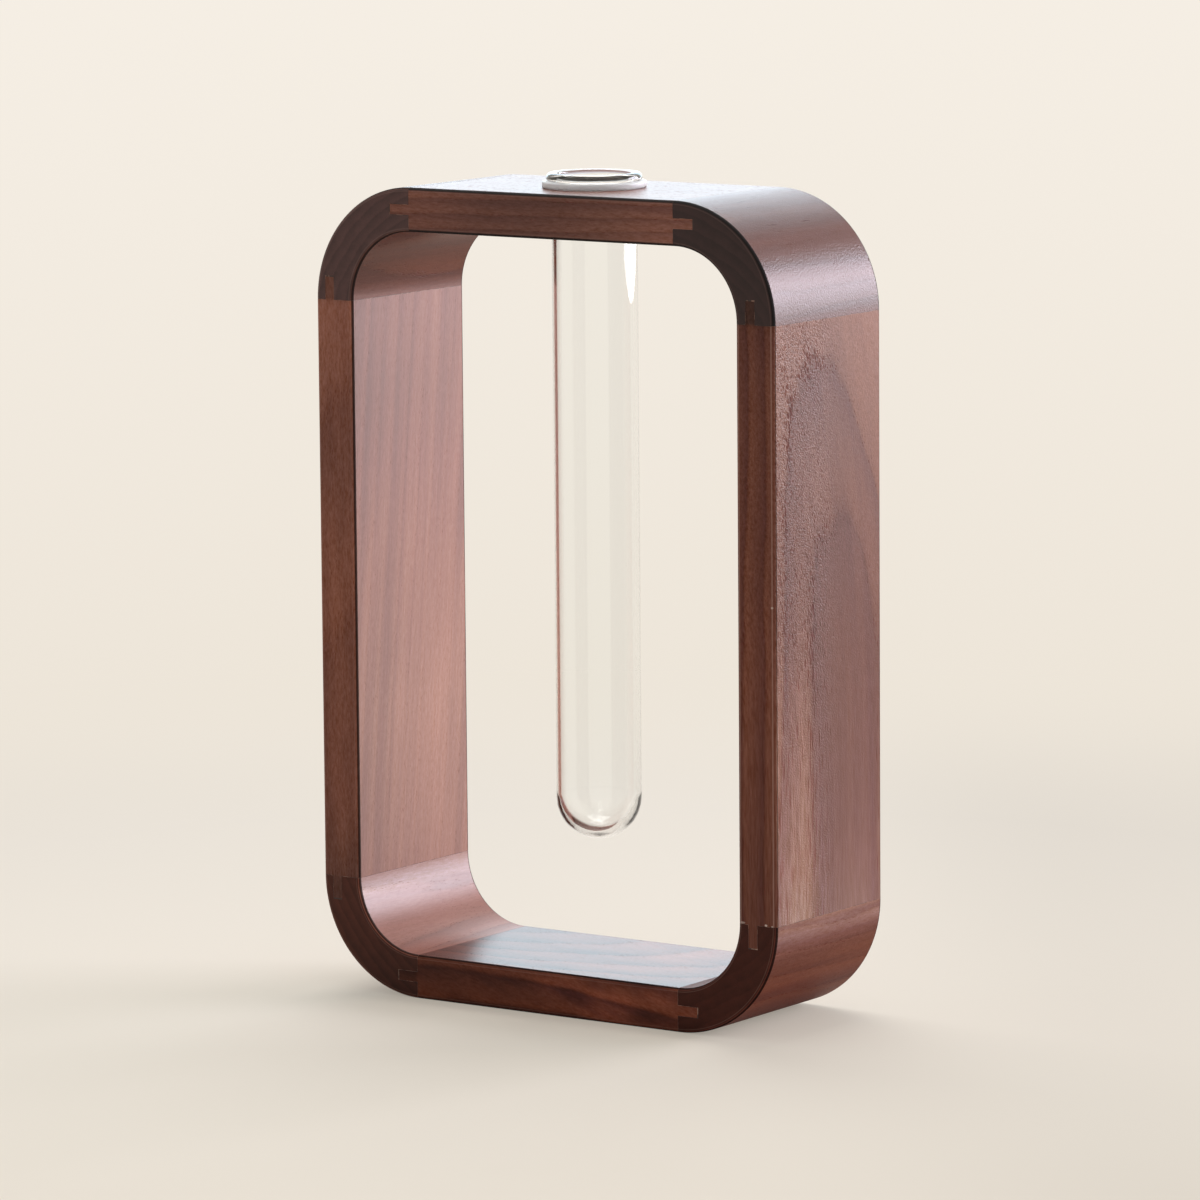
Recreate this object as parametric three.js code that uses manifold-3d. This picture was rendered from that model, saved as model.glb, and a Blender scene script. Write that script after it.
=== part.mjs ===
// A hydroponic planter: a glass tube hung through the top of a standing walnut frame.
// Millimetres, with +Z up. The width runs along X and the depth along Y, and the front faces -Y.
// The origin is at the middle of the underside.
import * as THREE from "three";
import { mergeVertices } from "three/addons/utils/BufferGeometryUtils.js";
import Module from "manifold-3d";

const wasm = await Module();
wasm.setup();

// Frame, over its outside
const frameWidth = 161;
const frameHeight = 240;
const frameDepth = 56;
const boardThickness = 13;
const cornerRadius = 34; // outside of a corner block, which also takes this much of each side
const arrisRadius = 1.2; // rounding of every long edge

// Tongue at each end of a board, glued into a groove that runs from front to back of the corner block
const tongueThickness = 3;
const tongueLength = 7;
const uprightTongueShift = 1.5; // the uprights' tongues sit this far left of the board's middle
const glueGap = 0.1; // round a tongue and at its shoulders

// Hole for the tube in the top board
const holeClearance = 0.5; // round the tube
const holeChamfer = 0.8;

// Glass tube
const tubeDiameter = 25;
const tubeWall = 1.2;
const tubeLength = 196; // from the crest of the lip to the round bottom
const tubeBottomThickness = 2.6;
const lipHeight = 2.4; // crest above the lip's seat
const lipFlare = 1.5; // how far the lip stands out past the tube
const lipEdgeRadius = 0.7; // under the lip's outer edge
const lipNeckRadius = 0.4; // between the tube and the underside of the lip
const lipCrestInset = 0.9; // from the crest in to the bore
const lipThroatDepth = 2.6; // over which the mouth narrows to the bore

// Clear ring that seats the lip on the wood
const ringWidth = 2.4;
const ringThickness = 2;
const ringClearance = 0.3; // round the tube
const ringEdgeRadius = 0.5;

// Faces on the round forms
const arrisFaces = 3; // in each quarter of an arris
const cornerFaces = 16; // in each corner block's quarter turn
const roundFaces = 48; // round the tube, its hole and its ring
const bottomFaces = 9; // from the side of the tube down to its tip
const lipFaces = 4; // in each curve of the lip

const cutterOverrun = 1; // how far a cutter runs past what it cuts

const innerRadius = cornerRadius - boardThickness;
const cornerX = frameWidth / 2 - cornerRadius;
const tubeRadius = tubeDiameter / 2;
const boreRadius = tubeRadius - tubeWall;
const holeRadius = tubeRadius + holeClearance;

const boardWood = new THREE.MeshStandardMaterial({ color: 0x6f4a3c, roughness: 0.45, metalness: 0 });
const cornerWood = new THREE.MeshStandardMaterial({ color: 0x4b342c, roughness: 0.45, metalness: 0 });
const clearGlass = new THREE.MeshStandardMaterial({
  color: 0xeaf1f2,
  roughness: 0.03,
  metalness: 0,
  transparent: true,
  opacity: 0.35,
});
const clearSilicone = new THREE.MeshStandardMaterial({
  color: 0xe9ecec,
  roughness: 0.25,
  metalness: 0,
  transparent: true,
  opacity: 0.6,
});

// A closed geometry as a manifold-3d solid, for joining and cutting.
function solidFrom(geometry) {
  const bare = geometry.clone();
  bare.deleteAttribute("normal");
  bare.deleteAttribute("uv");
  const merged = mergeVertices(bare, 1e-4);
  return new wasm.Manifold(
    new wasm.Mesh({
      numProp: 3,
      vertProperties: merged.attributes.position.array,
      triVerts: new Uint32Array(merged.index.array),
    }),
  );
}

// A manifold-3d solid back as a geometry with flat faces.
function geometryFrom(solid) {
  const { vertProperties, triVerts } = solid.getMesh();
  const indexed = new THREE.BufferGeometry();
  indexed.setAttribute("position", new THREE.BufferAttribute(vertProperties, 3));
  indexed.setIndex(new THREE.BufferAttribute(triVerts, 1));
  const flat = indexed.toNonIndexed();
  flat.computeVertexNormals();
  return flat;
}

// A box from its lowest to its highest corner, as a solid.
function boxSolid([x0, y0, z0], [x1, y1, z1]) {
  const box = new THREE.BoxGeometry(x1 - x0, y1 - y0, z1 - z0);
  return solidFrom(box.translate((x0 + x1) / 2, (y0 + y1) / 2, (z0 + z1) / 2));
}

// Points of an elliptical arc, both ends included, with its angles in quarter turns.
function arcPoints(cx, cy, rx, ry, from, to, faces) {
  return Array.from({ length: faces + 1 }, (_, i) => {
    const angle = ((from + ((to - from) * i) / faces) * Math.PI) / 2;
    return new THREE.Vector2(cx + rx * Math.cos(angle), cy + ry * Math.sin(angle));
  });
}

// Outline of a rectangle with rounded corners, anticlockwise.
function roundedOutline(x0, x1, y0, y1, radius, faces) {
  return [
    ...arcPoints(x1 - radius, y0 + radius, radius, radius, -1, 0, faces),
    ...arcPoints(x1 - radius, y1 - radius, radius, radius, 0, 1, faces),
    ...arcPoints(x0 + radius, y1 - radius, radius, radius, 1, 2, faces),
    ...arcPoints(x0 + radius, y0 + radius, radius, radius, 2, 3, faces),
  ];
}

// A solid turned round Z from a profile of radius and height.
function turned(profile, faces) {
  return new THREE.LatheGeometry(profile, faces).rotateX(Math.PI / 2);
}

// The tongue at the +X end of a board that lies flat round the origin, from inside the board.
// shoulder is where the board ends, and rise is how far the tongue sits above the board's middle.
function tongueSolid(shoulder, rise) {
  return boxSolid(
    [shoulder - cutterOverrun, -frameDepth / 2, rise - tongueThickness / 2],
    [shoulder + tongueLength, frameDepth / 2, rise + tongueThickness / 2],
  );
}

// The cutter for the groove that takes a tongue, into a face that looks along -X from the origin.
function grooveSolid(rise) {
  const halfWidth = tongueThickness / 2 + glueGap;
  const halfDepth = frameDepth / 2 + cutterOverrun;
  return boxSolid(
    [-cutterOverrun, -halfDepth, rise - halfWidth],
    [tongueLength, halfDepth, rise + halfWidth],
  );
}

// A board that lies flat round the origin, its length along X, with a tongue at each end.
function boardSolid(span, rise) {
  const halfLength = span / 2 - glueGap;
  const outline = roundedOutline(
    -frameDepth / 2,
    frameDepth / 2,
    -boardThickness / 2,
    boardThickness / 2,
    arrisRadius,
    arrisFaces,
  );
  const plank = new THREE.ExtrudeGeometry(new THREE.Shape(outline), {
    depth: 2 * halfLength,
    bevelEnabled: false,
  });
  plank.translate(0, 0, -halfLength);
  const along = new THREE.Vector3(1, 0, 0);
  const across = new THREE.Vector3(0, 1, 0);
  const up = new THREE.Vector3(0, 0, 1);
  plank.applyMatrix4(new THREE.Matrix4().makeBasis(across, up, along));
  const tongue = tongueSolid(halfLength, rise);
  return solidFrom(plank).add(tongue).add(tongue.mirror([1, 0, 0]));
}

// A quarter of a ring round the origin, over +X and +Z, with the boards' section and two grooves.
// rises says how far each groove sits outside the section's middle: first the one in the face
// that looks along -X, then the one in the face that looks along -Z.
function cornerBlock(rises) {
  const section = roundedOutline(
    innerRadius,
    cornerRadius,
    -frameDepth / 2,
    frameDepth / 2,
    arrisRadius,
    arrisFaces,
  );
  section.push(section[0].clone());
  const ring = solidFrom(new THREE.LatheGeometry(section, 4 * cornerFaces));
  const past = cornerRadius + frameDepth;
  const quarter = ring.intersect(boxSolid([0, -past, 0], [past, past, past]));
  const middle = (innerRadius + cornerRadius) / 2;
  const level = grooveSolid(middle + rises[0]);
  const upright = grooveSolid(-middle - rises[1]).rotate([0, -90, 0]);
  return geometryFrom(quarter.subtract(level).subtract(upright));
}

// The cutter for the tube's hole, round the origin, with a chamfer at each mouth.
function holeSolid() {
  const half = boardThickness / 2;
  const end = half + cutterOverrun;
  const wide = holeRadius + holeChamfer + cutterOverrun;
  const profile = [
    [0, -end],
    [wide, -end],
    [holeRadius, -half + holeChamfer],
    [holeRadius, half - holeChamfer],
    [wide, end],
    [0, end],
  ].map(([r, z]) => new THREE.Vector2(r, z));
  return solidFrom(turned(profile, roundFaces));
}

// The tube round the origin, with the seat of its lip at height 0.
function tubeGeometry() {
  const tip = lipHeight - tubeLength;
  const lipRadius = tubeRadius + lipFlare;
  const crestRadius = boreRadius + lipCrestInset;
  const profile = [
    ...arcPoints(0, tip + tubeRadius, tubeRadius, tubeRadius, -1, 0, bottomFaces),
    ...arcPoints(
      tubeRadius + lipNeckRadius,
      -lipNeckRadius,
      lipNeckRadius,
      lipNeckRadius,
      2,
      1,
      lipFaces,
    ),
    ...arcPoints(
      lipRadius - lipEdgeRadius,
      lipEdgeRadius,
      lipEdgeRadius,
      lipEdgeRadius,
      -1,
      0,
      lipFaces,
    ),
    ...arcPoints(
      crestRadius,
      lipEdgeRadius,
      lipRadius - crestRadius,
      lipHeight - lipEdgeRadius,
      0,
      1,
      lipFaces,
    ).slice(1),
    ...arcPoints(
      crestRadius,
      lipHeight - lipThroatDepth,
      lipCrestInset,
      lipThroatDepth,
      1,
      2,
      lipFaces,
    ).slice(1),
    ...arcPoints(
      0,
      tip + tubeBottomThickness + boreRadius,
      boreRadius,
      boreRadius,
      0,
      -1,
      bottomFaces,
    ),
  ];
  profile[0].x = 0;
  profile.at(-1).x = 0;
  return turned(profile, roundFaces);
}

// The ring round the origin, with its underside at height 0.
function ringGeometry() {
  const inside = tubeRadius + ringClearance;
  const outline = roundedOutline(
    inside,
    inside + ringWidth,
    0,
    ringThickness,
    ringEdgeRadius,
    arrisFaces,
  );
  outline.push(outline[0].clone());
  return turned(outline, roundFaces);
}

function node(name, geometry, material) {
  const mesh = new THREE.Mesh(geometry, material);
  mesh.name = name;
  return mesh;
}

// The frame: two level boards, two uprights that are the same piece, and four corner blocks.
const frame = new THREE.Group();

const levelSpan = frameWidth - 2 * cornerRadius;
const topBoard = node(
  "top_board",
  geometryFrom(boardSolid(levelSpan, 0).subtract(holeSolid())),
  boardWood,
);
topBoard.position.z = frameHeight - boardThickness / 2;
const bottomBoard = node("bottom_board", geometryFrom(boardSolid(levelSpan, 0)), boardWood);
bottomBoard.position.z = boardThickness / 2;
frame.add(topBoard, bottomBoard);

// Turned up on end by a quarter turn about Y, a board's own upper face looks to the right.
const uprightSpan = frameHeight - 2 * cornerRadius;
for (const [name, side] of [
  ["left_upright", -1],
  ["right_upright", 1],
]) {
  const board = boardSolid(uprightSpan, -uprightTongueShift);
  const upright = node(name, geometryFrom(board), boardWood);
  upright.rotation.y = Math.PI / 2;
  upright.position.set((side * (frameWidth - boardThickness)) / 2, 0, frameHeight / 2);
  frame.add(upright);
}

// Each corner block is turned about Y by quarter turns from the top right one. The shift to the
// left is outwards for the left upright's grooves and inwards for the right upright's.
const outwards = uprightTongueShift;
for (const [name, quarterTurns, side, end, rises] of [
  ["corner_top_right", 0, 1, 1, [0, -outwards]],
  ["corner_bottom_right", 1, 1, -1, [-outwards, 0]],
  ["corner_bottom_left", 2, -1, -1, [0, outwards]],
  ["corner_top_left", 3, -1, 1, [outwards, 0]],
]) {
  const block = node(name, cornerBlock(rises), cornerWood);
  block.rotation.y = (quarterTurns * Math.PI) / 2;
  const cornerZ = frameHeight / 2 + end * (frameHeight / 2 - cornerRadius);
  block.position.set(side * cornerX, 0, cornerZ);
  frame.add(block);
}

// The ring lies on the top board round the hole, and the tube hangs in it by its lip.
const seatRing = node("seat_ring", ringGeometry(), clearSilicone);
const glassTube = node("glass_tube", tubeGeometry(), clearGlass);
glassTube.position.z = ringThickness;
const hanging = new THREE.Group();
hanging.position.z = frameHeight;
hanging.add(seatRing, glassTube);

const planter = new THREE.Group();
planter.add(frame, hanging);

export default planter;
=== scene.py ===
import math

import bmesh
import bpy
from mathutils import Matrix, Vector


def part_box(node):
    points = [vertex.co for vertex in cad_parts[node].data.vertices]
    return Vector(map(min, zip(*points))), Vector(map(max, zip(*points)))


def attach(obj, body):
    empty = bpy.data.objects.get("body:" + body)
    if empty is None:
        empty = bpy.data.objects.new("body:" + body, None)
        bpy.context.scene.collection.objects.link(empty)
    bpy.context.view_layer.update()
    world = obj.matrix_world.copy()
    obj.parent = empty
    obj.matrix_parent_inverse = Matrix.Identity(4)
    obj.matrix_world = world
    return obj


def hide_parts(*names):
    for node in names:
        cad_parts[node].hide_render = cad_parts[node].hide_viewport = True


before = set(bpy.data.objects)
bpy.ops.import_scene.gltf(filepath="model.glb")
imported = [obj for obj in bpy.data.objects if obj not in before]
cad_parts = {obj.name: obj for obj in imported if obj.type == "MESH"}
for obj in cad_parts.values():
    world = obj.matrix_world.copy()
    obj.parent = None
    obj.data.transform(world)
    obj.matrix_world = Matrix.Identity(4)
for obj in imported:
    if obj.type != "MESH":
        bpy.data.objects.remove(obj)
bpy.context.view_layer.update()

MM = 0.001
DEGREE = math.radians(1)

# Sizes of the wooden frame that its boxes don't give
ARRIS_RADIUS = 1.2 * MM
TONGUE_THICKNESS = 3 * MM
TONGUE_SHIFT = 1.5 * MM  # of the uprights' tongues, outwards
GLUE_GAP = 0.1 * MM
TONGUE_TIP_GAP = 0.35 * MM
GLUE_RECESS = 0.03 * MM
HOLE_RADIUS = 13 * MM
HOLE_CHAMFER = 0.8 * MM
CUTTER_SPARE = 1 * MM

# Glass tube and its seat ring
TUBE_WALL = 1.2 * MM
TUBE_BOTTOM = 2.6 * MM
LIP_FLARE = 1.5 * MM
LIP_NECK_RADIUS = 0.4 * MM
LIP_EDGE_RADIUS = 0.7 * MM
LIP_CREST_RADIUS = 1.6 * MM
LIP_MOUTH_RADIUS = 0.9 * MM
ROUND_BOTTOM = 0.999  # how much of its radius a round bottom is rounded by
RING_CLEARANCE = 0.3 * MM
RING_EDGE_RADIUS = 0.5 * MM

# Faces on the round forms, and what counts as one point or as a sharp edge
ARRIS_SEGMENTS = 6
CORNER_STEPS = 40
ROUND_STEPS = 96
CURVE_SEGMENTS = 8
SAME_POINT = 1e-7
SHARP_ANGLE = 32 * DEGREE

# How much of a face's normal lies along an axis where the face counts as facing that way
FRONT_FACING = 0.6
SQUARELY_FACING = 0.9

# Camera, as solved from the frame's edges in the photograph
CAMERA_AZIMUTH = 34.825 * DEGREE
CAMERA_ELEVATION = 8.0515 * DEGREE
CAMERA_ROLL = -0.4634 * DEGREE
CAMERA_DISTANCE = 2.038
CAMERA_TARGET = Vector((0.84 * MM, 0, 119.06 * MM))
CAMERA_LENS = 209.02
CAMERA_SENSOR = 36
CAMERA_REACH = (0.05, 50)

# The camera's way over the floor, away from it and to its right
AWAY = (-math.sin(CAMERA_AZIMUTH), math.cos(CAMERA_AZIMUTH), 0)
ASIDE = (math.cos(CAMERA_AZIMUTH), math.sin(CAMERA_AZIMUTH), 0)

# The floor, how evenly it is seen near the planter, and how bright the room is as a light
FLOOR_HALF_SIZE = 12.0
FLOOR_EVENNESS = 0.35
ROOM_LIGHT = 0.5

# How far before the planter the floor's colours begin, and how far on they are halfway through
FLOOR_START = 0.3
FLOOR_HALFWAY = 1.3

# How the floor under the lamps darkens behind the planter and to its right, as the range of
# places and the lightness at both ends, and between which distances the lamps stop counting
DARKER_BEHIND = (-0.2, 0.45, 0.93, 0.66)
DARKER_ASIDE = (0.03, 0.16, 1.0, 0.84)
LAMPS_FADE = (0.12, 0.65)

# Each window's azimuth counted from the back, distance, lower and upper edge, width, radiance
# and colour
WINDOWS = {
    "side_window": (35 * DEGREE, 2.6, 0.34, 1.3, 1.9, 14.3, (0.9, 0.88, 1.0)),
    "side_window_foot": (32 * DEGREE, 2.1, 0.0, 0.26, 3.4, 7.0, (0.93, 0.93, 1.0)),
    "back_window": (-32 * DEGREE, 3.0, 0.2, 2.2, 3.0, 2.4, (0.64, 0.85, 1.0)),
}


def srgb(red, green, blue):
    """A colour given in 0 to 255 as the eye sees it, as a linear colour with alpha."""
    shares = [value / 255 for value in (red, green, blue)]
    linear = [s / 12.92 if s <= 0.04045 else ((s + 0.055) / 1.055) ** 2.4 for s in shares]
    return (*linear, 1)


# The room's colour, and the floor's from near to far, where it meets the room's
ROOM_COLOUR = srgb(246, 239, 229)
FLOOR_COLOURS = [(0.0, srgb(229, 220, 205)), (0.45, srgb(238, 230, 218)), (0.85, ROOM_COLOUR)]


def grey(level):
    """A grey of that linear level."""
    return (level, level, level, 1)


def set_inputs(tree, node, inputs):
    """Links or sets a node's inputs, each by its name or number."""
    for key, value in inputs.items():
        if isinstance(value, bpy.types.NodeSocket):
            tree.links.new(value, node.inputs[key])
        else:
            node.inputs[key].default_value = value


def add_node(tree, kind, inputs=None, **settings):
    """A node of that kind, with its settings, and with its inputs linked or set."""
    node = tree.nodes.new(kind)
    for key, value in settings.items():
        setattr(node, key, value)
    set_inputs(tree, node, inputs or {})
    return node


def calc(tree, operation, *values, clamp=False):
    """The result of a Math node."""
    inputs = dict(enumerate(values))
    node = add_node(tree, "ShaderNodeMath", inputs, operation=operation, use_clamp=clamp)
    return node.outputs[0]


def smooth_range(tree, value, low, high, to_low=0.0, to_high=1.0):
    """value mapped from low..high to to_low..to_high with a smooth start and end."""
    inputs = {"Value": value, "From Min": low, "From Max": high}
    inputs |= {"To Min": to_low, "To Max": to_high}
    node = add_node(tree, "ShaderNodeMapRange", inputs, interpolation_type="SMOOTHSTEP")
    return node.outputs["Result"]


def vector_calc(tree, operation, *vectors, output="Vector"):
    """The result of a Vector Math node."""
    inputs = dict(enumerate(vectors))
    return add_node(tree, "ShaderNodeVectorMath", inputs, operation=operation).outputs[output]


def length(tree, vector):
    """How long a vector is."""
    return vector_calc(tree, "LENGTH", vector, output="Value")


def from_middle(tree, place, middle, scale):
    """A place as seen from a middle, scaled along each axis."""
    return vector_calc(tree, "MULTIPLY", vector_calc(tree, "SUBTRACT", place, middle), scale)


def join(tree, *parts):
    """A vector of its X, Y and Z."""
    return add_node(tree, "ShaderNodeCombineXYZ", dict(enumerate(parts))).outputs[0]


def split(tree, vector):
    """The X, Y and Z of a vector."""
    return add_node(tree, "ShaderNodeSeparateXYZ", {0: vector}).outputs


def noise(tree, vector, scale, detail=3.0, roughness=0.55, output="Fac"):
    """Noise on a vector that is first scaled along each axis."""
    laid = vector_calc(tree, "MULTIPLY", vector, scale)
    inputs = {"Vector": laid, "Scale": 1.0, "Detail": detail, "Roughness": roughness}
    return add_node(tree, "ShaderNodeTexNoise", inputs).outputs[output]


def mix_colour(tree, factor, first, second, blend="MIX"):
    """Two colours mixed by a factor."""
    inputs = {"Factor": factor, 6: first, 7: second}
    node = add_node(tree, "ShaderNodeMix", inputs, data_type="RGBA", blend_type=blend)
    return node.outputs[2]


def times(tree, first, second):
    """Two colours multiplied."""
    return mix_colour(tree, 1.0, first, second, "MULTIPLY")


def shaded(tree, colour, light):
    """A colour made lighter or darker by a factor."""
    shade = add_node(tree, "ShaderNodeCombineColor", {0: light, 1: light, 2: light}).outputs[0]
    return times(tree, colour, shade)


def ramp(tree, factor, stops):
    """A colour ramp from a list of (place, colour)."""
    node = add_node(tree, "ShaderNodeValToRGB", {"Fac": factor})
    elements = node.color_ramp.elements
    while len(elements) < len(stops):
        elements.new(0.5)
    for element, (place, colour) in zip(elements, stops):
        element.position = place
        element.color = colour
    return node.outputs["Color"]


def grey_ramp(tree, factor, stops):
    """A ramp from a list of (place, level)."""
    return ramp(tree, factor, [(at, grey(level)) for at, level in stops])


def bumped(tree, height, strength, distance):
    """The surface's direction where a height raises it."""
    inputs = {"Height": height, "Strength": strength, "Distance": distance}
    return add_node(tree, "ShaderNodeBump", inputs).outputs["Normal"]


def new_material(name):
    """An empty material, with its tree, its Principled shader and its surface's coordinates."""
    material = bpy.data.materials.new(name)
    material.use_nodes = True
    tree = material.node_tree
    tree.nodes.clear()
    shader = add_node(tree, "ShaderNodeBsdfPrincipled")
    add_node(tree, "ShaderNodeOutputMaterial", {"Surface": shader.outputs["BSDF"]})
    coords = add_node(tree, "ShaderNodeTexCoord").outputs
    return material, tree, shader, coords


# How the grain axis is turned to the pattern's own Z, and which part of the normal looks along it
GRAIN = {
    "X": ((0, -90 * DEGREE, 0), 0),
    "Y": ((90 * DEGREE, 0, 0), 1),
    "Z": ((0, 0, 0), 2),
}

# How often each pattern repeats in a millimetre, across the grain and along it
SWELLS = (0.03, 0.03, 0.008)
WOBBLES = (0.16, 0.16, 0.03)
CLOUDS = (0.045, 0.045, 0.012)
FIBRES = (2.6, 2.6, 0.08)
STREAKS_ALONG = 0.006
PORES_ACROSS = (2.3, 2.3, 0)
FLECKS = (0.62, 0.62, 0.9)
PORE_CROWDS = (0.22, 0.22, 0.05)
SANDING = (1.8, 1.8, 1.8)
CRUMBLING = (2.0, 2.0, 2.0)

# How far swells and wobbles push a ring about, in millimetres from side to side
SWELL_WIDTH = 5.0
WOBBLE_WIDTH = 1.6

# How often the patterns of glass, silicone and glue repeat in a metre
GLASS_RIPPLES = (90.0, 90.0, 9.0)
GLASS_SMEARS = (45.0, 45.0, 22.0)
SILICONE_CLOUDS = (160.0, 160.0, 160.0)
GLUE_CRUMBS = (420.0, 420.0, 420.0)

# How much of the normal lies along the grain on cut ends; and along Y on the flat front and
# back, on their very rim, and where an arris begins
CUT_END = (0.72, 0.95)
FLAT_FRONT = (0.9, 0.99)
FRONT_RIM = (0.9996, 0.998)
ARRIS_START = (0.03, 0.15)

# Colours in the wood: open pores, how fine detail is tinted, glue crumbs, and the pale line
# along the arrises, part wear and part painted highlight
PORE = srgb(82, 22, 8)
FINE_TINT = (0.6, 1.0, 1.45)
CRUMB = srgb(216, 196, 184)
WORN_AND_HIGHLIGHT = srgb(164, 128, 116)

# The palest tone that a piece can have, and the gloss of front and back where none is given
TONE_TOP = 4
EDGE_GLOSS = 0.1

# How late the wood is across a ring, from its dark line outwards, and how strong that line is
RING = [(0, 0.7), (0.06, 0.2), (0.15, 0), (0.45, 0.35), (0.75, 0.75), (0.94, 1), (1, 0.7)]
RING_LINE = [(0, 1), (0.06, 0.7), (0.16, 0.2), (0.35, 0), (0.9, 0), (1, 1)]

# The same for a count of rings from -0.5 to 1.5, where only the ring from 0 to 1 is drawn
TWO_RINGS = [(0, 0.58), (0.2, 0.8), (0.25, 0.8), (0.29, 0.46), (0.36, 0.36), (0.5, 0.48)]
TWO_RINGS += [(0.62, 0.68), (0.7, 0.85), (0.74, 0.7), (0.79, 0.2), (1, 0.1)]
TWO_RING_LINES = [(0, 0), (0.22, 0), (0.25, 0.75), (0.3, 0.45), (0.38, 0.1), (0.45, 0)]
TWO_RING_LINES += [(0.7, 0), (0.75, 1), (0.8, 0.4), (1, 0)]

# The heights between which two rings widen towards the foot, and flecks grow stronger upwards
RINGS_WIDEN = (34.0, 135.0)
FLECKS_GROW = (50.0, 190.0)


def tint(tone):
    """A tone, as one lightness or as one for red, green and blue, as a share of the palest."""
    levels = tone if isinstance(tone, tuple) else (tone, tone, tone)
    return (*[level / TONE_TOP for level in levels], 1)


def pushed(tree, place, pattern, width):
    """A place pushed about in X and Y by a noise's colour, over that width."""
    middle = -width / 2
    push = vector_calc(tree, "MULTIPLY_ADD", pattern, (width, width, 0.0), (middle, middle, 0.0))
    return vector_calc(tree, "ADD", place, push)


def with_tones_and_painted_light(tree, colour, place, tones_and_painted_light, patches_and_painted_light):
    """A colour with the slow change of tone along its piece, and with paler and darker patches."""
    # Partly the wood's own tone, partly painted sheen, highlights, reflections and shade
    for axis, stops in tones_and_painted_light:
        first, last = stops[0][0], stops[-1][0]
        spot = calc(tree, "SUBTRACT", split(tree, place)[axis], first * MM)
        spot = calc(tree, "DIVIDE", spot, (last - first) * MM, clamp=True)
        stops = [((at - first) / (last - first), tint(tone)) for at, tone in stops]
        colour = times(tree, shaded(tree, colour, TONE_TOP), ramp(tree, spot, stops))
    for middle, half_sizes, tone in patches_and_painted_light:
        scale = tuple(1 / (half * MM) for half in half_sizes)
        off = from_middle(tree, place, tuple(at * MM for at in middle), scale)
        patch = times(tree, shaded(tree, colour, TONE_TOP), tint(tone))
        colour = mix_colour(tree, smooth_range(tree, length(tree, off), 1.0, 0.25), colour, patch)
    return colour


def crumbed(tree, colour, place, laid, specks):
    """A colour with crumbs of dried glue on it."""
    for speck_x, speck_z, half_width, half_height, strength in specks:
        scale = (1 / (half_width * MM), 0, 1 / (half_height * MM))
        off = from_middle(tree, place, (speck_x * MM, 0, speck_z * MM), scale)
        ragged = noise(tree, laid, CRUMBLING, output="Color")
        ragged = vector_calc(tree, "MULTIPLY", ragged, (0.5, 0.0, 0.5))
        far = length(tree, vector_calc(tree, "ADD", off, ragged))
        share = smooth_range(tree, far, 1.3, 0.6, 0.0, strength)
        colour = mix_colour(tree, share, colour, CRUMB)
    return colour


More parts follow.
